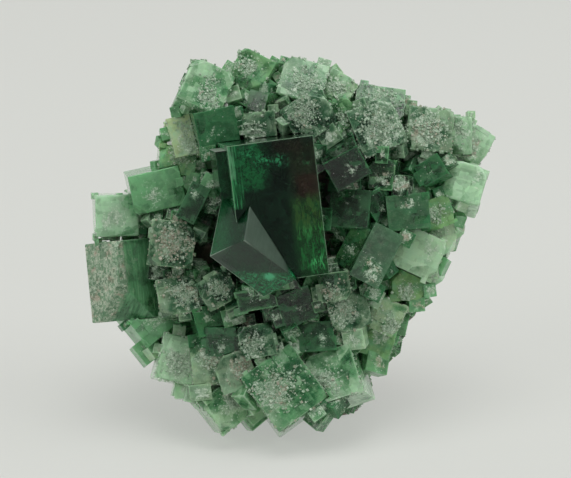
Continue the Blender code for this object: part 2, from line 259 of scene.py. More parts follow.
class Graph:
    """The node tree of one material."""

    def __init__(self, name):
        self.material = bpy.data.materials.new(name)
        self.material.use_nodes = True
        self.tree = self.material.node_tree
        self.tree.nodes.clear()
        self.output = self.tree.nodes.new("ShaderNodeOutputMaterial")

    def join(self, value, socket):
        if isinstance(value, Sock):
            self.tree.links.new(value.socket, socket)
        elif isinstance(value, tuple) and socket.type == "RGBA" and len(value) == 3:
            socket.default_value = (*value, 1.0)
        else:
            socket.default_value = value

    def node(self, kind, settings=None, inputs=(), output=0):
        made = self.tree.nodes.new(kind)
        for name, value in (settings or {}).items():
            setattr(made, name, value)
        pairs = inputs.items() if isinstance(inputs, dict) else enumerate(inputs)
        for key, value in pairs:
            self.join(value, made.inputs[key])
        return Sock(self, made.outputs[output])

    def attribute(self, name):
        settings = dict(attribute_type="GEOMETRY", attribute_name=name)
        return self.node("ShaderNodeAttribute", settings, output="Vector")

    def noise(self, where, scale, detail=2.0, roughness=0.5, distortion=0.0):
        inputs = dict(Vector=where, Scale=scale, Detail=detail, Roughness=roughness, Distortion=distortion)
        return self.node("ShaderNodeTexNoise", None, inputs)

    def cells(self, where, scale, output="Distance", randomness=1.0, metric="CHEBYCHEV"):
        inputs = dict(Vector=where, Scale=scale, Randomness=randomness)
        return self.node("ShaderNodeTexVoronoi", dict(distance=metric), inputs, output)

    def mix(self, amount, first, second):
        settings = dict(data_type="RGBA", clamp_factor=True)
        made = self.tree.nodes.new("ShaderNodeMix")
        for name, value in settings.items():
            setattr(made, name, value)
        for key, value in (("Factor_Float", amount), ("A_Color", first), ("B_Color", second)):
            self.join(value, next(i for i in made.inputs if i.identifier == key))
        return Sock(self, next(o for o in made.outputs if o.identifier == "Result_Color"))

    def random(self, where):
        return self.node("ShaderNodeTexWhiteNoise", dict(noise_dimensions="3D"), {"Vector": where})

    def tiles(self, where, scale):
        """A random height for each tile of a staggered blocky mosaic along the crystal's axes."""
        grid = where * scale
        along = self.node(
            "ShaderNodeTexWhiteNoise",
            dict(noise_dimensions="3D"),
            {"Vector": self.shuffled(grid * 0.73).floor()},
            "Color",
        )
        return self.random((grid + along).floor())

    def shuffled(self, value):
        x, y, z = value.parts()
        return self.node("ShaderNodeCombineXYZ", None, [y, z, x])

    def bump(self, height, strength, distance=MM * 0.1):
        inputs = dict(Height=height, Strength=strength, Distance=distance)
        return self.node("ShaderNodeBump", None, inputs, "Normal")

    def shader(self, **inputs):
        made = self.tree.nodes.new("ShaderNodeBsdfPrincipled")
        for name, value in inputs.items():
            self.join(value, made.inputs[name.replace("_", " ")])
        return Sock(self, made.outputs[0])

    def finish(self, surface, volume=None):
        self.tree.links.new(surface.socket, self.output.inputs["Surface"])
        if volume:
            self.tree.links.new(volume.socket, self.output.inputs["Volume"])
        return self.material


class Crystal(Graph):
    """A crystal's material: the fields that fluorite's looks are made from."""

    def __init__(self, name):
        super().__init__(name)
        self.own, self.half = self.attribute("own"), self.attribute("half")
        self.seed = self.attribute("seed")
        self.frost_share, self.stain_share, self.olive_share = self.attribute("look").parts()
        self.rim, self.light, self.painted_sheen = self.attribute("rim").parts()
        mat_x, mat_y, mat_reach = self.attribute("mat").parts()
        self.where = self.own + self.seed
        # 1 in the middle of the crystal's frosted mat, 0 at its border and below 0 beyond it.
        own_x, own_y, _ = self.own.parts()
        off_x, off_y = own_x - mat_x, own_y - mat_y
        self.mat = 1.0 - (off_x * off_x + off_y * off_y).power(0.5) / mat_reach
        # How far a point on a face is from the nearest edge of that face, in mm.
        x, y, z = (self.half - self.own.abs()).parts()
        self.edge = x + y + z - x.min(y).min(z) - x.max(y).max(z)
        self.broad = self.noise(self.where, 0.30, 4.0, 0.60, 0.3)
        self.middle = self.noise(self.where, 1.0, 5.0, 0.62, 0.25)
        self.fine = self.noise(self.where, 4.2, 5.0, 0.66)
        self.large_tile = self.tiles(self.where, 0.75)
        self.tile = self.tiles(self.where, 1.9)
        self.small_tile = self.tiles(self.where, 5.0)

    def body(self, shades):
        """The green that shows from inside, with painted light: lighter towards the cluster's rim, where
        light shines through, with painted highlights along the edges, on cleavage planes and in glints.
        """
        dark, mid, light = shades
        # Painted light: lighter towards the cluster's rim, where light shines through the thin crystals,
        # plus each crystal's lightness, which is partly painted light.
        lit = 0.46 + 0.30 * self.rim + (self.broad - 0.5) * 2.4 + (self.middle - 0.5) * 0.6 + self.light
        # Cleavage planes inside break the green into shards with sharp borders, each painted lighter or
        # darker for the light that the planes reflect inside.
        bent = self.where * (1.0, 0.6, 0.8) + (self.middle - 0.5) * 0.9
        shard, depth, _ = self.cells(bent, 0.5, "Color", 1.0, "EUCLIDEAN").parts()
        splinters = self.cells(self.shuffled(self.where) * (0.7, 1.0, 0.5), 1.3, "Color").parts()[0]
        # Painted highlight: lighter along the edges.
        lit = lit + self.edge.step(0.9, 0.0) * 0.25
        lit = lit + (shard - 0.5) * 0.65 + (splinters - 0.5) * 0.34
        shade = self.mix(lit.step(0.0, 0.52), dark, mid)
        shade = self.mix(lit.step(0.48, 1.15), shade, light)
        bright = tuple(min(1.0, 1.35 * value) for value in light)
        shade = self.mix(lit.step(1.05, 1.85), shade, bright)
        shade = shade * (0.72 + 0.30 * depth + 0.26 * splinters)
        # Painted highlights: bright flashes on some cleavage planes and pale lines along the edges.
        painted_highlight = splinters.step(0.90, 0.93) * 0.50 + self.edge.step(0.28, 0.05) * 0.5
        shade = self.mix(painted_highlight, shade, bright)
        # Painted glints: tiny near-white highlights.
        glint = self.cells(self.where + (4.0, 1.0, 8.0), 0.9, metric="EUCLIDEAN").step(0.10, 0.05)
        shade = self.mix(glint * 0.9, shade, (0.80, 0.88, 0.80))
        olive = self.olive_share * self.noise(self.where, 0.5, 3.0, 0.6).step(0.34, 0.60)
        return self.mix(olive * 0.75, shade, shade * (1.55, 1.02, 0.58))

    def frost(self):
        """How much of a point is etched white: ragged, speckled, blocky patches on the faces."""
        field = self.broad * 0.55 + self.middle * 0.60 + self.large_tile * 0.10 + self.tile * 0.10
        field = field + self.small_tile * 0.08 + (self.fine - 0.5) * 0.45 + self.mat.max(-0.6) * 0.34
        amount = (field - (1.12 - self.frost_share * 0.50)).step(-0.08, 0.12)
        speck = self.cells(self.where, 2.3).step(0.06, 0.24)
        veil = (self.middle * 0.5 + self.fine * 0.5).step(0.42, 0.68) * self.frost_share * 0.45
        return (amount * (0.35 + 0.65 * speck)).max(veil)

    def etched(self, pale=(0.76, 0.86, 0.73)):
        """The frost itself: pale, greener in its pits, pink or brown where iron stains it, with painted
        white sparkles.
        """
        lit = self.fine.step(0.32, 0.64) + self.light * 0.5
        shade = self.mix(lit, (0.11, 0.25, 0.13), (0.37, 0.51, 0.36))
        shade = self.mix((self.tile * 0.5 + self.small_tile * 0.5).step(0.38, 0.92) * 0.85, shade, pale)
        shade = self.mix(self.middle.step(0.52, 0.32) * 0.75, shade, (0.06, 0.18, 0.085))
        rust = self.noise(self.where + (7.0, 3.0, 5.0), 0.62, 4.0, 0.6) + self.stain_share * 0.36
        shade = self.mix((rust - 0.68).step(0.0, 0.16) * 0.66, shade, (0.44, 0.32, 0.25))
        spots = self.noise(self.where + (2.0, 9.0, 4.0), 2.6, 2.0, 0.5).step(0.71, 0.76)
        shade = self.mix(spots * 0.75, shade, (0.30, 0.15, 0.04))
        # Painted sparkle: tiny white highlights in the frost.
        sparkle = self.cells(self.where + (5.0, 5.0, 5.0), 1.7).step(0.16, 0.08)
        shade = self.mix(sparkle * 0.9, shade, (0.86, 0.90, 0.84))
        relief = self.tile * 0.5 + self.small_tile * 0.30 + self.fine * 0.60 + self.large_tile * 0.35
        return self.shader(
            Base_Color=shade,
            Roughness=0.40 + 0.3 * self.fine,
            IOR=IOR,
            Normal=self.bump(relief, 0.9, MM * 0.20),
        )

    def clear(self, shade, tint, clarity, gloss):
        """Polished fluorite: part glass, tinted by tint, and part the shade that comes from inside."""
        scratches = self.noise(self.where * (9.0, 1.0, 1.0), 1.0, 4.0, 0.7)
        polish = gloss + 0.14 * self.middle.step(0.5, 0.75) + 0.10 * scratches.step(0.5, 0.8)
        steps = (self.noise(self.where, 0.55, 2.0, 0.5) * 9.0).floor() / 9.0
        relief = steps * 0.35 + self.large_tile * 0.20 * self.broad.step(0.45, 0.6) + self.fine * 0.06
        normal = self.bump(relief, 0.4, MM * 0.14)
        common = dict(Roughness=polish, IOR=IOR, Normal=normal)
        glass = self.shader(Base_Color=tint, Transmission_Weight=1.0, **common)
        inner = self.shader(
            Base_Color=shade,
            Subsurface_Weight=0.5,
            Subsurface_Radius=(0.7, 1.0, 0.7),
            Subsurface_Scale=1.2 * MM,
            **common,
        )
        return self.blend(clarity, inner, glass)

    def with_painted_sheen(self, surface):
        """The crystal with a grey sheen painted into its colour, streaked, on the face that looks out of the
        cluster, for the room that face reflects.
        """
        from_front = (self.half - self.own).parts()[2]
        streak = self.noise(self.own * (0.3, 2.6, 0.3) + self.seed, 1.0, 4.0, 0.7)
        grey = self.shader(Base_Color=(0.100, 0.140, 0.106), Roughness=0.30 + 0.15 * streak, IOR=IOR)
        amount = from_front.step(0.25, 0.10) * self.painted_sheen * (0.55 + 0.9 * streak * self.broad)
        return self.blend(amount, surface, grey)

    def blend(self, amount, first, second):
        return self.node("ShaderNodeMixShader", None, [amount, first, second])

    def soak(self, colour, density):
        """How light dies away inside: density is per metre."""
        return self.node("ShaderNodeVolumeAbsorption", None, {"Color": colour, "Density": density})


def fluorite(name, shades, tint, clarity, absorb, density, gloss):
    """Fluorite of one tone: clear green with frost, stains, etched mosaic and growth steps."""
    g = Crystal(name)
    clear = g.with_painted_sheen(g.clear(g.body(shades), tint, clarity, gloss))
    surface = g.blend(g.frost() * 0.93, clear, g.etched())
    return g.finish(surface, g.soak(absorb, density))


def great_fluorite():
    """The great cube: black green with emerald to the upper left and lower right, and with brown."""
    g = Crystal("fluorite_great")
    wisps = g.noise(g.where, 1.5, 6.0, 0.68, 0.9)
    ripple = g.noise(g.where, 0.8, 4.0, 0.6, 0.5)
    fibres = g.noise(g.own * (2.2, 0.55, 0.5) + g.seed, 1.0, 5.0, 0.66, 0.6)

    def area(left, right, low, high, soft=0.9, ragged=1.6):
        """1 in a patch of the front given by its sides in mm, with a wandering border."""
        x, y, _ = (g.own + (ripple - 0.5) * ragged + (wisps - 0.5) * ragged * 0.7).parts()
        return (
            x.step(left - soft, left + soft)
            * x.step(right + soft, right - soft)
            * y.step(low - soft, low + soft)
            * y.step(high + soft, high - soft)
        )

    shade = g.mix(g.broad.step(0.3, 0.7), (0.0030, 0.0110, 0.0062), (0.0050, 0.0210, 0.0105))
    shade = g.mix(area(-8, -2.0, 3.9, 12, 0.35, 0.9), shade, (0.007, 0.050, 0.019))
    shade = g.mix(area(-6.2, -1.4, 4.6, 11.2, 1.3) * wisps.step(0.36, 0.62), shade, (0.012, 0.110, 0.036))
    shade = g.mix(area(-3.4, 3.0, 7.6, 9.8, 0.9) * wisps.step(0.50, 0.64), shade, (0.035, 0.25, 0.105))
    shade = g.mix(area(-5.6, -2.8, 9.6, 11.4, 0.7) * wisps.step(0.47, 0.62), shade, (0.030, 0.22, 0.090))
    shade = g.mix(area(2.8, 9, 2.0, 11, 1.2), shade, (0.0135, 0.0215, 0.0105))
    shade = g.mix(area(3.6, 7.2, 1.6, 5.6, 0.7) * 0.85, shade, (0.0260, 0.0155, 0.0105))
    shade = g.mix(area(0.4, 5.4, 9.4, 11.8, 0.8) * 0.7, shade, (0.0150, 0.0135, 0.0085))
    shade = g.mix(area(2.4, 9, -12, 1.2, 0.9, 1.2) * 0.9, shade, (0.013, 0.066, 0.020))
    shade = g.mix(area(2.8, 9, -5.2, 1.6, 1.2) * fibres.step(0.42, 0.60) * 0.8, shade, (0.042, 0.095, 0.022))
    shade = g.mix(area(3.0, 8.6, -10.8, -3.4, 0.9) * fibres.step(0.46, 0.62), shade, (0.024, 0.190, 0.052))
    shade = g.mix(area(4.6, 7.0, -11.2, -8.6, 0.7) * fibres.step(0.47, 0.57), shade, (0.060, 0.36, 0.120))
    shade = g.mix(area(4.6, 7.2, 6.0, 9.2, 1.0) * wisps.step(0.50, 0.66) * 0.6, shade, (0.028, 0.125, 0.050))
    streak = g.noise(g.own * (2.6, 0.10, 0.10) + g.seed, 1.0, 3.0, 0.7)
    border = area(-8, -5.7, 1.4, 12, 0.5, 0.6)
    shade = g.mix(border * 0.7, shade, (0.010, 0.090, 0.030))
    shade = g.mix(border * streak.step(0.50, 0.60), shade, (0.045, 0.27, 0.105))
    brightest = area(-8, -6.6, 6.2, 12, 0.3, 0.3) * streak.step(0.42, 0.50)
    shade = g.mix(brightest * 0.8, shade, (0.13, 0.36, 0.19))
    shade = shade * (0.84 + 0.66 * g.cells(g.where, 0.8, "Color", 1.0, "EUCLIDEAN").parts()[0])
    # Painted highlight: pale thin lines along the edges.
    shade = g.mix(g.edge.step(0.13, 0.04) * 0.8, shade, (0.26, 0.42, 0.28))
    clear = g.clear(shade, (0.45, 0.80, 0.52), 0.22, 0.02)
    return g.finish(clear, g.soak((0.10, 0.50, 0.22), 140.0))


def twin_fluorite():
    """The twin's corner: two faces with grey sheens painted into their colour for the room they reflect, and
    one clear one, with emerald low down and painted highlights on its edges.
    """
    g = Crystal("fluorite_twin")
    beyond_x, beyond_y, beyond_z = (g.half - g.own).parts()
    left, down, _ = (g.own - g.half).parts()
    wisps = g.noise(g.where, 1.5, 6.0, 0.68, 0.9)
    shade = g.mix(g.broad.step(0.3, 0.7), (0.006, 0.028, 0.013), (0.010, 0.062, 0.024))
    shade = g.mix(beyond_y.step(1.2, 0.3) * left.step(-2.2, -6.0) * 0.8, shade, (0.018, 0.135, 0.050))
    # Low on the face that looks down, the emerald shows below a slanting border.
    low = (down + left * 0.89 + (wisps - 0.5) * 2.4 + 11.4).step(0.8, -1.4)
    shade = g.mix(low * wisps.step(0.30, 0.50), shade, (0.012, 0.155, 0.050))
    shade = g.mix(low * wisps.step(0.50, 0.60), shade, (0.040, 0.36, 0.145))
    from_spark = g.own - g.half - (-3.3, -10.0, 0.0)
    spark = g.node("ShaderNodeVectorMath", dict(operation="LENGTH"), [from_spark], "Value")
    shade = g.mix((spark + (wisps - 0.5) * 2.6).step(1.3, 0.5), shade, (0.10, 0.62, 0.30))
    clear = g.clear(shade, (0.45, 0.85, 0.58), 0.30, 0.03)
    streak = g.noise(g.own * (0.25, 3.0, 0.25) + g.seed, 1.0, 3.0, 0.7)
    # Grey sheens painted into the colour of the two faces, for the room they reflect, streaked.
    painted_sheen_x = g.shader(Base_Color=(0.064, 0.100, 0.074), Roughness=0.32 + 0.1 * streak, IOR=IOR)
    painted_sheen_z = g.shader(Base_Color=(0.042, 0.068, 0.050), Roughness=0.30 + 0.1 * streak, IOR=IOR)
    sheen_amount_x = beyond_x.step(0.10, 0.03) * (0.40 + 0.35 * streak + 0.45 * g.broad)
    surface = g.blend(sheen_amount_x, clear, painted_sheen_x)
    sheen_amount_z = beyond_z.step(0.10, 0.03) * (0.55 + 0.62 * g.broad) * (1.0 - low)
    surface = g.blend(sheen_amount_z, surface, painted_sheen_z)
    # Painted highlights: pale lines along the edges and across the face that looks down, along a ledge.
    line = g.shader(Base_Color=(0.34, 0.42, 0.35), Roughness=0.3, IOR=IOR)
    surface = g.blend(g.edge.step(0.20, 0.08) * 0.60, surface, line)
    painted_ledge_highlight = ((down + 11.9).abs().step(0.12, 0.05)) * beyond_z.step(0.10, 0.03) * left.step(-5.4, -5.0)
    surface = g.blend(painted_ledge_highlight * 0.7, surface, line)
    return g.finish(surface, g.soak((0.10, 0.55, 0.25), 110.0))


def split_fluorite():
    """The tall western block: its left half frosted and stained, its right half streaked clean green."""
    g = Crystal("fluorite_split")
    from_left = (g.own + g.half).parts()[0] + (g.middle - 0.5) * 1.6
    streak = g.noise(g.own * (2.4, 0.18, 0.5) + g.seed, 1.0, 4.0, 0.65)
    shade = g.mix(streak.step(0.35, 0.66), (0.040, 0.185, 0.070), (0.160, 0.450, 0.205))
    shade = g.mix(streak.step(0.62, 0.70) * 0.6, shade, (0.24, 0.47, 0.25))
    shade = g.mix(g.broad.step(0.56, 0.40) * 0.7, shade, (0.014, 0.070, 0.026))
    # Painted highlight: pale lines along the edges.
    shade = g.mix(g.edge.step(0.30, 0.06) * 0.6, shade, (0.30, 0.50, 0.32))
    clear = g.clear(shade, (0.60, 0.88, 0.64), 0.34, 0.06)
    frosted = from_left.step(2.1, 1.3) * (0.45 + 0.55 * (g.fine * 0.5 + g.tile * 0.5).step(0.32, 0.60))
    surface = g.blend(frosted.max(g.frost() * 0.25), clear, g.etched((0.62, 0.64, 0.52)))
    return g.finish(surface, g.soak((0.20, 0.60, 0.30), 100.0))


def step_fluorite():
    """The low step beside the great cube: clear dark green under a top with a grey sheen painted into its
    colour, for the overhead light it reflects.
    """
    g = Crystal("fluorite_step")
    beyond_top = (g.half - g.own).parts()[1]
    shade = g.mix(g.middle.step(0.40, 0.62), (0.004, 0.020, 0.009), (0.010, 0.072, 0.026))
    clear = g.clear(shade, (0.45, 0.82, 0.55), 0.30, 0.03)
    # Painted reflection: the top face is grey for the overhead light it reflects.
    grey = g.shader(Base_Color=(0.22, 0.26, 0.22), Roughness=0.28 + 0.2 * g.fine, IOR=IOR)
    surface = g.blend(beyond_top.step(0.10, 0.03) * 0.9, clear, grey)
    return g.finish(surface, g.soak((0.10, 0.50, 0.22), 110.0))


def host_rock():
    """The rock: grey brown and grainy, with paler veins, pale grains and patches of a green tinge."""
    g = Graph("host_rock")
    where = g.node("ShaderNodeTexCoord", output="Object")
    broad = g.noise(where, 90.0, 5.0, 0.6, 0.4)
    middle = g.noise(where, 420.0, 6.0, 0.65)
    grain = g.noise(where, 2200.0, 3.0, 0.6)
    chips = g.cells(where, 520.0, "Distance", metric="EUCLIDEAN")
    shade = g.mix(broad.step(0.35, 0.65), (0.080, 0.066, 0.052), (0.215, 0.170, 0.130))
    shade = g.mix(middle.step(0.50, 0.72) * 0.7, shade, (0.330, 0.255, 0.200))
    shade = g.mix(grain.step(0.55, 0.70) * 0.5, shade, (0.36, 0.34, 0.29))
    green = g.noise(where + (1.0, 2.0, 3.0), 160.0, 4.0, 0.6).step(0.52, 0.64)
    shade = g.mix(green * 0.75, shade, (0.075, 0.135, 0.078))
    height = broad * 1.2 + middle * 0.7 + chips * 0.5 + grain * 0.12
    surface = g.shader(
        Base_Color=shade,
        Roughness=0.62 + 0.3 * middle,
        Normal=g.bump(height, 0.9, MM * 0.7),
    )
    return g.finish(surface)


# name: dark, middle and light shades from inside, tint of the glass, share of glass, colour of
# absorption, density in 1/m, roughness
GLASSES = {
    "deep": (
        ((0.0038, 0.018, 0.0085), (0.0105, 0.060, 0.023), (0.045, 0.195, 0.078)),
        (0.50, 0.82, 0.56), 0.36, (0.10, 0.46, 0.20), 110.0, 0.04,
    ),
    "leaf": (
        ((0.008, 0.052, 0.019), (0.036, 0.175, 0.060), (0.180, 0.430, 0.215)),
        (0.62, 0.90, 0.66), 0.36, (0.22, 0.62, 0.32), 80.0, 0.04,
    ),
    "mint": (
        ((0.035, 0.190, 0.070), (0.150, 0.410, 0.185), (0.430, 0.680, 0.440)),
        (0.78, 0.96, 0.80), 0.36, (0.36, 0.78, 0.46), 60.0, 0.04,
    ),
    "frost": (
        ((0.010, 0.058, 0.026), (0.056, 0.180, 0.086), (0.270, 0.430, 0.275)),
        (0.62, 0.86, 0.66), 0.30, (0.22, 0.58, 0.32), 100.0, 0.08,
    ),
}
MATERIALS = {tone: fluorite(f"fluorite_{tone}", *values) for tone, values in GLASSES.items()}
OWN_MATERIALS = {
    "great_cube": great_fluorite(),
    "great_twin": twin_fluorite(),
    "west_block": split_fluorite(),
}
STEP = step_fluorite()
ROCK = host_rock()


# --------------------------------------------------------------------------------------- geometry
def merged(node):
    """A CAD node's corners and the faces between them, welded and with flat faces made whole."""
    mesh_data = bmesh.new()
    mesh_data.from_mesh(frame["nodes"][node].data)
    bmesh.ops.remove_doubles(mesh_data, verts=mesh_data.verts[:], dist=1e-6)
    bmesh.ops.dissolve_limit(
        mesh_data, angle_limit=math.radians(0.4), verts=mesh_data.verts[:], edges=mesh_data.edges[:]
    )
    return mesh_data


def crystal_axes(mesh_data, avoid=None):
    """The three square axes of a crystal, as the rows of a matrix.

    They are the square triple of face directions that holds the most surface: the area of the faces
    along the first, plus that along the second, plus that along the first crossed with the second.
    """
    normals = np.array([face.normal for face in mesh_data.faces])
    areas = np.array([face.calc_area() for face in mesh_data.faces])
    if avoid is not None:
        kept = np.abs(normals @ avoid.T).max(axis=1) < 0.999
        normals, areas = normals[kept], areas[kept]
    along = np.abs(normals @ normals.T)
    held = (along > 0.9999) @ areas
    best, found = -1.0, None
    for i in np.argsort(-held)[:12]:
        for j in np.argsort(-held):
            if along[i, j] > 0.004:
                continue
            third = np.cross(normals[i], normals[j])
            third /= np.linalg.norm(third)
            score = held[i] + held[j] + areas[np.abs(normals @ third) > 0.9999].sum()
            if score > best:
                best, found = score, (normals[i], np.cross(third, normals[i]), third)
    return sorted_axes(np.array(found))


def sorted_axes(axes):
    """The same axes in the order across, up and out of the cluster's front, each pointing that way."""
    orders = [(0, 1, 2), (0, 2, 1), (1, 0, 2), (1, 2, 0), (2, 0, 1), (2, 1, 0)]
    best = max(orders, key=lambda order: sum(abs(axes[i] @ way) for i, way in zip(order, FRONT)))
    picked = axes[list(best)]
    signs = np.sign(np.einsum("ij,ij->i", picked, FRONT))
    return picked * signs[:, None]


def corner_axes(axes):
    """The axes of a crystal that shows a corner, outwards, in the order right, left, lower face."""
    outward = axes * np.sign(axes @ FRONT[2])[:, None]
    lower = np.argmin(outward @ FRONT[1])
    right = np.argmax(outward @ FRONT[0])
    return outward[[right, 3 - lower - right, lower]]


def grown_corners(mesh_data, amount):
    """Corners of a solid whose every face has moved out by amount.

    A corner moves by the shortest step whose part along each of its faces' normals is amount.
    """
    corners = []
    for vertex in mesh_data.verts:
        normals = np.array([face.normal for face in vertex.link_faces])
        step = np.linalg.lstsq(normals, np.full(len(normals), amount), rcond=1e-3)[0]
        reach = np.linalg.norm(step)
        step *= min(1.0, 3.0 * amount / max(reach, 1e-12))
        corners.append(np.array(vertex.co) + step)
    return np.array(corners)


def chip_corners(mesh_data, axes, centre, half, side):
    """Cut some of a crystal's outer corners off flat, alike from all three faces that meet there."""
    for across in (-1.0, 1.0):
        for up in (-1.0, 1.0):
            lost, depth = dice.random() < 0.62, dice.uniform(0.40, 1.50) * MM
            if not lost:
                continue
            signs = np.array((across, up, side))
            normal = signs @ axes / math.sqrt(3)
            corner = centre + (signs * half) @ axes
            cut = bmesh.ops.bisect_plane(
                mesh_data,
                geom=mesh_data.verts[:] + mesh_data.edges[:] + mesh_data.faces[:],
                dist=1e-7,
                plane_co=Vector(corner - normal * depth),
                plane_no=Vector(normal),
                clear_outer=True,
            )
            rim = [item for item in cut["geom_cut"] if isinstance(item, bmesh.types.BMEdge)]
            bmesh.ops.edgeloop_fill(mesh_data, edges=[edge for edge in rim if edge.is_boundary])
    bmesh.ops.recalc_face_normals(mesh_data, faces=mesh_data.faces[:])


def set_vectors(mesh, name, values):
    """Store one vector for each point of a mesh."""
    layer = mesh.attributes.new(name, "FLOAT_VECTOR", "POINT")
    layer.data.foreach_set("vector", np.ascontiguousarray(values, np.float32).ravel())


def dress(mesh, axes, centre, half, look, seed, light, mat):
    """Give a mesh its crystal's own coordinates in mm, half sizes, look, seed, lightness and mat."""
    count = len(mesh.vertices)
    places = np.empty(count * 3, np.float32)
    mesh.vertices.foreach_get("co", places)
    own = (places.reshape(-1, 3) - centre) @ axes.T / MM
    set_vectors(mesh, "own", own)
    set_vectors(mesh, "half", np.tile(half / MM, (count, 1)))
    set_vectors(mesh, "look", np.tile(look, (count, 1)))
    set_vectors(mesh, "seed", np.tile(seed, (count, 1)))
    set_vectors(mesh, "mat", np.tile(mat, (count, 1)))
    set_vectors(mesh, "rim", rim_side(places.reshape(-1, 3), centre, half, light))


def rim_side(places, centre, half, light):
    """Along a crystal from its inner side to its rim side: -1 to 1, then its lightness and the share of its
    painted sheen.

    It is the distance from the crystal's centre along the way from the cluster's middle to that
    centre, over the crystal's mean half size.
    """
    outward = centre - MIDDLE
    outward = outward - FRONT[2] * (outward @ FRONT[2])
    outward /= max(np.linalg.norm(outward), 1e-9)
    along = (places - centre) @ outward / np.mean(half)
    return np.stack([along, along * 0 + light[0], along * 0 + light[1]], axis=1)


def show(name, mesh, material, nodes=()):
    """Put a finished mesh in the scene as a piece of the object."""
    piece = bpy.data.objects.new(name, mesh)
    SCENE.collection.objects.link(piece)
    mesh.materials.clear()
    mesh.materials.append(material)
    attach(piece, "root")
    if nodes:
        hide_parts(*nodes)
    return piece


TONE_OF = {
    part["node"]: part["material_slot"].replace("fluorite_", "")
    for part in frame["record"]["subparts"]
}
dice = np.random.default_rng(11)
CRYSTALS = {}


def grow_crystals():
    """One piece for each crystal, from its CAD solid."""
    host_axes = None
    for name in ["great_cube", *sorted(set(LOOKS) - {"great_cube"})]:
        mesh_data = merged(name)
        axes = crystal_axes(mesh_data, host_axes if name == "great_twin" else None)
        if name == "great_cube":
            host_axes = axes
        if name == "great_twin":
            axes = corner_axes(axes)
        places = np.array([vertex.co for vertex in mesh_data.verts])
        own = places @ axes.T
        low, high = own.min(axis=0), own.max(axis=0)
        centre, half = (low + high) / 2 @ axes, (high - low) / 2 + SEAM * MM
        if TONE_OF[name] != "deep":
            side = -1.0 if name.startswith("back") else 1.0
            chip_corners(mesh_data, axes, centre, (high - low) / 2, side)
        corners = grown_corners(mesh_data, SEAM * MM)
        if name == "great_twin":
            corners = sink_twin(places, corners, host_axes)
        index = {vertex: i for i, vertex in enumerate(mesh_data.verts)}
        faces = [[index[vertex] for vertex in face.verts] for face in mesh_data.faces]
        mesh = bpy.data.meshes.new(name)
        mesh.from_pydata(corners.tolist(), [], faces)
        mesh_data.free()
        seed, light = dice.uniform(-60, 60, 3), (LIGHT[name], PAINTED_SHEEN.get(name, 0.0))
        middles = dice.uniform(-0.45, 0.45, (3, 2)) * half[:2]
        if name in MATS:
            middles[0] = np.array(MATS[name]) * half[:2]
        mat = np.array((*middles[0], 0.9 * half[:2].mean())) / MM
        dress(mesh, axes, centre, half, LOOKS[name], seed, light, mat)
        tone = TONE_OF[name]
        material = OWN_MATERIALS.get(name, MATERIALS[tone])
        piece = show(f"look_{name}", mesh, material, [name])
        bevel = piece.modifiers.new("rounded edges", "BEVEL")
        bevel.width = EDGE[tone] * MM
        bevel.segments = 3
        bevel.limit_method = "ANGLE"
        bevel.angle_limit = math.radians(25)
        CRYSTALS[name] = dict(axes=axes, centre=centre, half=half, tone=tone, seed=seed, light=light[0])
        CRYSTALS[name].update(middles=middles, mat=mat)


def sink_twin(places, corners, host_axes):
    """The twin's corners, with those next to the great cube moved on into it by a hair."""
    host = CRYSTALS["great_cube"]
    inside = (places - host["centre"]) @ host_axes.T
    beyond = np.abs(inside) - host["half"]
    near = np.abs(beyond) < 0.45 * MM
    push = np.where(near, -np.sign(inside) * 0.38 * MM, 0.0)
    return corners + push @ host_axes


grow_crystals()


def boxes(name, batch, material, bevelled=True):
    """Many small boxes as one piece. A corner is the centre plus each half size along its axis."""
    signs = np.array([(x, y, z) for x in (-1, 1) for y in (-1, 1) for z in (-1, 1)], float)
    quads = np.array(
        [(0, 1, 3, 2), (4, 6, 7, 5), (0, 4, 5, 1), (2, 3, 7, 6), (0, 2, 6, 4), (1, 5, 7, 3)]
    )
    own = signs[None] * batch["halves"][:, None]
    points = batch["centres"][:, None] + np.einsum("nki,nij->nkj", own, batch["axes"])
    faces = (quads[None] + 8 * np.arange(len(points))[:, None, None]).reshape(-1, 4)
    mesh = bpy.data.meshes.new(name)
    mesh.from_pydata(points.reshape(-1, 3).tolist(), [], faces.tolist())
    set_vectors(mesh, "own", (own + batch["place"][:, None]).reshape(-1, 3) / MM)
    set_vectors(mesh, "half", np.repeat(batch["whole"] / MM, 8, axis=0))
    for key in ("look", "seed", "rim", "mat"):
        set_vectors(mesh, key, np.repeat(batch[key], 8, axis=0))
    piece = show(name, mesh, material, ())
    if bevelled:
        bevel = piece.modifiers.new("rounded edges", "BEVEL")
        bevel.width = 0.06 * MM
        bevel.segments = 1
    return piece


def loose_batch(centres, axes, halves, look, tones, light):
    """Crystals that stand for themselves: their patterns run along their own middles."""
    count = len(centres)
    rim = np.stack([dice.uniform(-0.8, 1.0, count), light, np.zeros(count)], axis=1)
    return dict(
        centres=centres,
        axes=axes,
        halves=halves,
        look=look,
        tones=tones,
        rim=rim,
        place=np.zeros((count, 3)),
        whole=halves,
        mat=np.stack([np.zeros(count), np.zeros(count), halves.mean(axis=1) / MM], axis=1),
        seed=dice.uniform(-60, 60, (count, 3)),
    )


def random_looks(count, ranges):
    """Frost, stain and olive shares for many crystals, each share between the two ends of its range."""
    return np.stack([dice.uniform(low, high, count) for low, high in ranges], axis=1)


def turned(axes, angle):
    """Axes turned by random angles of up to angle, one set for each row."""
    count = len(axes)
    spin = dice.normal(size=(count, 3))
    spin /= np.linalg.norm(spin, axis=1)[:, None]
    amount = dice.uniform(-angle, angle, count)
    cos, sin = np.cos(amount)[:, None], np.sin(amount)[:, None]
    rows = []
    for k in range(3):
        row = axes[:, k]
        along = np.einsum("ij,ij->i", row, spin)[:, None] * spin
        rows.append(row * cos + np.cross(spin, row) * sin + along * (1 - cos))
    return np.stack(rows, axis=1)


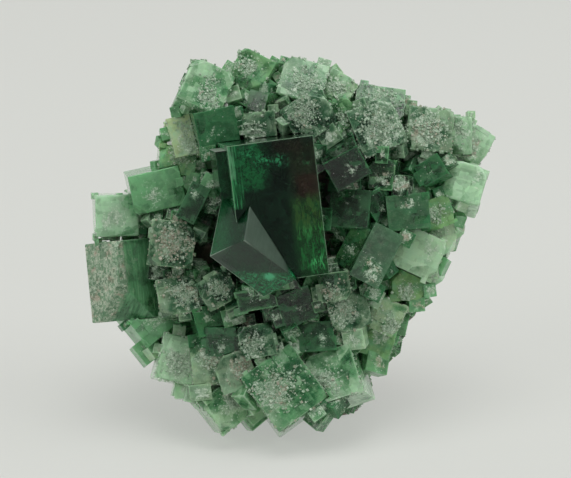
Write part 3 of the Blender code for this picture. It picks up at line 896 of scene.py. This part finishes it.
def depths(points):
    """How far each point is outside each crystal's box, below 0 inside it, and how far past its front."""
    names = [name for name in CRYSTALS if name != "great_twin"]
    distance, inner = [], []
    for name in names:
        c = CRYSTALS[name]
        own = (points - c["centre"]) @ c["axes"].T
        over = np.abs(own) - c["half"]
        distance.append(np.linalg.norm(np.maximum(over, 0), axis=1) + np.minimum(over.max(axis=1), 0))
        inner.append(own[:, 2] - c["half"][2])
    return names, np.array(distance), np.array(inner)


def fill_gaps(count):
    """Crystals of 1 to 4 mm in the gaps between the large ones: between two that are near each other."""
    low, high = (np.array(corner) for corner in cad_box)
    points = dice.uniform(low, high, (90000, 3))
    names, distance, inner = depths(points)
    order = np.argsort(distance, axis=0)
    rows = np.arange(len(points))
    first, second = distance[order[0], rows], distance[order[1], rows]
    below = inner[order[0], rows]
    good = (first > 0.10 * MM) & (second < 1.9 * MM) & (below < -0.9 * MM) & (below > -6.5 * MM)
    good &= (inner[order[1], rows] < -0.3 * MM) & (points[:, 2] > 2.4 * MM)
    host = CRYSTALS["great_cube"]
    over_host = np.abs((points - host["centre"]) @ host["axes"].T)[:, :2] - host["half"][:2]
    good &= over_host.max(axis=1) > 1.2 * MM
    chosen = []
    for i in np.flatnonzero(good):
        if all(np.linalg.norm(points[i] - points[k]) > 1.25 * MM for k in chosen):
            chosen.append(i)
        if len(chosen) == count:
            break
    chosen = np.array(chosen)
    nearest = [names[k] for k in order[0, chosen]]
    axes = np.array([CRYSTALS[name]["axes"] for name in nearest])
    loose = dice.random(len(chosen)) < 0.6
    axes = np.where(loose[:, None, None], turned(axes, 1.2), turned(axes, 0.05))
    size = (first[chosen] + second[chosen]) * 0.5 + dice.uniform(0.30, 0.80, len(chosen)) * MM
    halves = np.clip(size, 0.45 * MM, 1.7 * MM)[:, None] * dice.uniform(0.75, 1.2, (len(chosen), 3))
    tones = np.array([CRYSTALS[name]["tone"] for name in nearest])
    look = random_looks(len(chosen), ((0.2, 0.75), (0, 0.7), (0, 0.2)))
    light = np.array([CRYSTALS[name]["light"] for name in nearest])
    light += dice.uniform(-0.25, 0.25, len(chosen))
    from_middle = np.linalg.norm(points[chosen] - MIDDLE, axis=1) / (30 * MM)
    # Painted light: lighter further from the middle, for the light that shines through the thin crystals at
    # the rim.
    light += np.clip(0.6 * from_middle - 0.4, -0.15, 0.25)
    # They are smaller towards the rim, except low down, where they hide the rock's foot.
    smaller = np.clip(1.9 - 1.2 * from_middle, 0.45, 1.0)
    halves = halves * np.where(points[chosen, 2] < 15 * MM, 1.1, smaller)[:, None]
    darker = dice.random(len(chosen)) < 0.95 - 0.75 * from_middle
    tones = np.where(darker, dice.choice(("deep", "leaf"), len(chosen)), tones)
    return loose_batch(points[chosen], axes, halves, look, tones, light)


def growth_steps():
    """Low steps parallel to a large crystal, on its sides and front, that carry its pattern on."""
    keys = ("centres", "axes", "halves", "look", "tones", "rim", "place", "whole", "seed", "mat")
    made = {key: [] for key in keys}
    for name, c in CRYSTALS.items():
        if name in ("great_cube", "great_twin"):
            continue
        frost = LOOKS[name][0]
        for _ in range(int(5 + 9 * frost)):
            half = dice.uniform(0.25, 0.95, 3) * MM
            place = dice.uniform(-1, 1, 3) * (c["half"] - 0.3 * half)
            k = dice.choice(3, p=(0.38, 0.38, 0.24))
            if k == 2:
                half[2] = dice.uniform(0.10, 0.22) * MM
                half[:2] *= 1.5
                side = -1.0 if name.startswith("back") else 1.0
            else:
                place[2] = c["half"][2] * dice.uniform(-0.6, 0.9)
                side = dice.choice((-1.0, 1.0))
            place[k] = side * (c["half"][k] - half[k] * dice.uniform(0.45, 0.9))
            row = (
                c["centre"] + place @ c["axes"], c["axes"], half, LOOKS[name], c["tone"],
                (dice.uniform(0.0, 0.6), c["light"], 0.0), place, c["half"], c["seed"], c["mat"],
            )
            for key, value in zip(keys, row):
                made[key].append(value)
    return {key: np.array(value) for key, value in made.items()}


def druse(density):
    """Tiny crystals in mats on the frosted faces: thickest round a wandering middle, thin beyond it."""
    centres, axes, halves, look, tones, light = [], [], [], [], [], []
    for name, c in CRYSTALS.items():
        frost, stain, olive = LOOKS[name]
        if frost < 0.40:
            continue
        half = c["half"]
        count = int(density * frost * half[0] * half[1] / MM**2)
        middles = c["middles"]
        spread = dice.uniform(0.18, 0.42, (3, 1)) * half[:2]
        mat = dice.choice(3, count, p=(0.5, 0.3, 0.2))
        place = np.zeros((count, 3))
        place[:, :2] = middles[mat] + np.clip(dice.normal(size=(count, 2)), -2, 2) * spread[mat]
        place[:, :2] = np.clip(place[:, :2], -0.97 * half[:2], 0.97 * half[:2])
        size = np.clip(np.exp(dice.normal(-2.20, 0.36, count)), 0.06, 0.26) * MM
        side = -1.0 if name.startswith("back") else 1.0
        place[:, 2] = side * (half[2] + size * dice.uniform(-0.5, 0.35, count))
        # A third of them sits on the sides instead, close under the front's edges.
        for k in np.flatnonzero(dice.random(count) < 0.34):
            wall = dice.integers(2)
            place[k] = dice.uniform(-1, 1, 3) * half
            place[k, wall] = np.sign(place[k, wall]) * (half[wall] + size[k] * dice.uniform(-0.5, 0.5))
            place[k, 2] = side * (half[2] - 2.6 * MM * dice.random() ** 2)
        own = np.repeat(c["axes"][None], count, axis=0)
        centres.append(c["centre"] + place @ c["axes"])
        loose = dice.random(count)[:, None, None] < 0.4
        axes.append(np.where(loose, turned(own, 1.3), turned(own, 0.35)))
        halves.append(size[:, None] * dice.uniform(0.7, 1.3, (count, 3)))
        stains = stain + dice.uniform(-0.3, 0.3, count)
        look.append(np.stack([np.ones(count), stains, np.full(count, olive)], axis=1))
        tones.extend([c["tone"]] * count)
        light.append(c["light"] + dice.uniform(-0.3, 0.6, count))
    arrays = [np.concatenate(parts) for parts in (centres, axes, halves, look)]
    return loose_batch(*arrays, np.array(tones), np.concatenate(light))


def rock_surface():
    """The rock's surface, drawn in a little behind the crystals on its rim.

    Above the foot every point moves towards the slab's middle line by up to 2 mm: it keeps its height
    out of the front and loses 2 mm of its distance from the middle, times a smooth step up the rock.
    """
    mesh = frame["nodes"]["host_rock"].data.copy()
    places = np.empty(len(mesh.vertices) * 3, np.float32)
    mesh.vertices.foreach_get("co", places)
    places = places.reshape(-1, 3).astype(float)
    across = (places - MIDDLE) - np.outer((places - MIDDLE) @ FRONT[2], FRONT[2])
    reach = np.linalg.norm(across, axis=1)
    rise = np.clip((places[:, 2] - 7 * MM) / (9 * MM), 0, 1)
    rise = rise * rise * (3 - 2 * rise)
    step = np.minimum(2.0 * MM, 0.3 * reach) * rise / np.maximum(reach, 1e-9)
    places -= across * step[:, None]
    mesh.vertices.foreach_set("co", places.astype(np.float32).ravel())
    mesh.update()
    return mesh


ROCK_MESH = rock_surface()


def rock_crystals(count):
    """Crystals of 1 to 3 mm on the rock: close together where it looks to the front, few at the back."""
    mesh = ROCK_MESH
    mesh.calc_loop_triangles()
    corners = np.array([[mesh.vertices[i].co[:] for i in t.vertices] for t in mesh.loop_triangles])
    cross = np.cross(corners[:, 1] - corners[:, 0], corners[:, 2] - corners[:, 0])
    area = np.linalg.norm(cross, axis=1)
    normals = cross / area[:, None]
    facing = normals @ FRONT[2]
    weight = area * np.where(facing > -0.25, 1.0, 0.10)
    weight[normals[:, 2] < -0.8] = 0.0
    weight[(corners[:, 0, 2] < 16 * MM) & (facing > -0.1)] *= 3.0
    picked = dice.choice(len(corners), count, p=weight / weight.sum())
    mixing = dice.dirichlet((1, 1, 1), count)
    points = np.einsum("nk,nkj->nj", mixing, corners[picked])
    size = dice.uniform(0.45, 1.15, count) * MM
    points = points + normals[picked] * (size * dice.uniform(-0.1, 0.4, count))[:, None]
    axes = turned(np.repeat(FRONT[None], count, axis=0), 1.5)
    halves = size[:, None] * dice.uniform(0.75, 1.25, (count, 3))
    look = random_looks(count, ((0.2, 0.8), (0.1, 0.7), (0, 0.5)))
    tones = dice.choice(("deep", "leaf", "frost"), count, p=(0.25, 0.4, 0.35))
    return loose_batch(points, axes, halves, look, tones, dice.uniform(-0.3, 0.3, count))


def great_step():
    """The low step that leans on the great cube's upper left side, parallel to it."""
    host = CRYSTALS["great_cube"]
    low = np.array((-9.3, 3.0, 0.0)) * MM
    high = np.array((-4.2, 11.2, host["half"][2] / MM - 1.5)) * MM
    place, half = (low + high) / 2, (high - low) / 2
    batch = loose_batch(
        (host["centre"] + place @ host["axes"])[None], host["axes"][None], half[None],
        np.array([(0.10, 0.1, 0.1)]), np.array(["deep"]), np.zeros(1),
    )
    boxes("great_step", batch, STEP)


def all_surfaces():
    """The surfaces of the large crystals and the rock, to ask how near to one a place is."""
    points, faces = [], []
    meshes = [bpy.data.objects[f"look_{name}"].data for name in CRYSTALS]
    for mesh in [*meshes, ROCK_MESH]:
        start = len(points)
        points += [vertex.co[:] for vertex in mesh.vertices]
        faces += [[start + i for i in face.vertices] for face in mesh.polygons]
    return BVHTree.FromPolygons(points, faces)


def small_crystals():
    """The crystals between and on the large ones, one piece of each kind for each tone."""
    low, high = (np.array(corner) for corner in cad_box)
    kinds = dict(
        gap=fill_gaps(GAP_CRYSTALS),
        step=growth_steps(),
        rock=rock_crystals(ROCK_CRYSTALS),
        druse=druse(DRUSE_DENSITY),
    )
    surfaces = all_surfaces()
    for kind, batch in kinds.items():
        reach = np.abs(np.einsum("ni,nij->nj", batch["halves"], np.abs(batch["axes"])))
        kept = (batch["centres"] - reach > low - 0.3 * MM).all(axis=1)
        kept &= (batch["centres"] + reach < high + 0.3 * MM).all(axis=1)
        kept &= batch["centres"][:, 2] - reach[:, 2] > 0.2 * MM
        # Each one touches a large crystal or the rock, and none is buried.
        for i in np.flatnonzero(kept):
            held = batch["halves"][i].min()
            kept[i] = surfaces.find_nearest(Vector(batch["centres"][i]), held)[0] is not None
        for tone in GLASSES:
            pick = kept & (batch["tones"] == tone)
            if pick.any():
                part = {key: value[pick] for key, value in batch.items()}
                boxes(f"{kind}_{tone}", part, MATERIALS[tone], kind != "druse")


small_crystals()
great_step()

show("look_host_rock", ROCK_MESH, ROCK, ["host_rock"])


# ------------------------------------------------------------------------------- floor and lights
def studio():
    """A pale seamless floor, a large soft light above, a weaker one at each side and a pale room."""
    paper = Graph("pale_paper")
    where = paper.node("ShaderNodeTexCoord", output="Object")
    fibre = paper.noise(where, 700.0, 4.0, 0.6)
    tint = paper.mix(fibre, (0.245, 0.249, 0.236), (0.255, 0.259, 0.246))
    # The sheet lies on a light table, so it also shines a little and its shadows stay pale.
    surface = paper.shader(
        Base_Color=tint,
        Roughness=0.9,
        Emission_Color=(0.402, 0.408, 0.390),
        Emission_Strength=1.0,
        Normal=paper.bump(fibre, 0.15, MM * 0.05),
    )
    paper.finish(surface)

    def floor_height(across, along):
        """0 on the floor, then up an arc at the back and at both sides: radius minus a circle's drop."""
        over = np.clip(np.maximum(along - 0.9, np.abs(across) - 1.5), 0.0, 0.6)
        return 0.6 - np.sqrt(0.36 - over**2)

    across, along = np.meshgrid(np.linspace(-2.1, 2.1, 85), np.linspace(-1.2, 1.5, 55))
    points = np.stack([across, along, floor_height(across, along)], axis=-1).reshape(-1, 3)
    rows, columns = across.shape
    start = (np.arange(rows - 1)[:, None] * columns + np.arange(columns - 1)).ravel()
    quads = np.stack([start, start + 1, start + columns + 1, start + columns], axis=1)
    mesh = bpy.data.meshes.new("floor")
    mesh.from_pydata(points.tolist(), [], quads.tolist())
    mesh.materials.append(paper.material)
    floor = bpy.data.objects.new("floor", mesh)
    SCENE.collection.objects.link(floor)

    world = bpy.data.worlds.new("room")
    world.use_nodes = True
    tree = world.node_tree
    room = tree.nodes["Background"]
    coordinate = tree.nodes.new("ShaderNodeTexCoord")
    split = tree.nodes.new("ShaderNodeSeparateXYZ")
    ramp = tree.nodes.new("ShaderNodeMapRange")
    # The room is dimmer behind whoever looks at the front, which is the -Y side.
    ramp.inputs["From Min"].default_value = -1.0
    ramp.inputs["From Max"].default_value = 0.4
    ramp.inputs["To Min"].default_value = ROOM_LIGHT * 0.45
    ramp.inputs["To Max"].default_value = ROOM_LIGHT
    tree.links.new(coordinate.outputs["Generated"], split.inputs[0])
    tree.links.new(split.outputs["Y"], ramp.inputs["Value"])
    tree.links.new(ramp.outputs[0], room.inputs["Strength"])
    room.inputs["Color"].default_value = (0.96, 0.975, 0.95, 1.0)
    SCENE.world = world

    def softbox(name, place, size, power, aim=(0.0, 0.0, 0.03)):
        light = bpy.data.lights.new(name, "AREA")
        light.shape = "RECTANGLE"
        light.size, light.size_y = size
        light.energy = power
        light.color = (1.0, 1.0, 0.985)
        lamp = bpy.data.objects.new(name, light)
        lamp.location = place
        lamp.rotation_euler = (Vector(aim) - Vector(place)).to_track_quat("-Z", "Y").to_euler()
        SCENE.collection.objects.link(lamp)

    softbox("overhead", (0.10, -0.30, 1.70), (1.3, 1.1), 18.0)
    softbox("left", (-1.30, -0.70, 0.90), (0.8, 0.8), 6.0)
    softbox("right", (1.10, -0.20, 0.90), (0.7, 0.7), 5.0)


studio()


# ----------------------------------------------------------------------------------------- camera
def camera():
    """A long lens that looks straight at the leaning front."""
    low, high = cad_box
    lens = bpy.data.cameras.new("camera")
    lens.lens = 108.0
    lens.clip_start, lens.clip_end = 0.01, 10.0
    eye = bpy.data.objects.new("camera", lens)
    SCENE.collection.objects.link(eye)
    aim = Vector((-0.0008, low.y + 0.01447, low.z + 0.0369))
    back = Vector((0.0, -math.cos(LEAN_BACK), math.sin(LEAN_BACK)))
    eye.location = aim + back * EYE_DISTANCE
    eye.rotation_euler = (-back).to_track_quat("-Z", "Y").to_euler()
    SCENE.camera = eye


camera()
SCENE.view_settings.view_transform = "Standard"
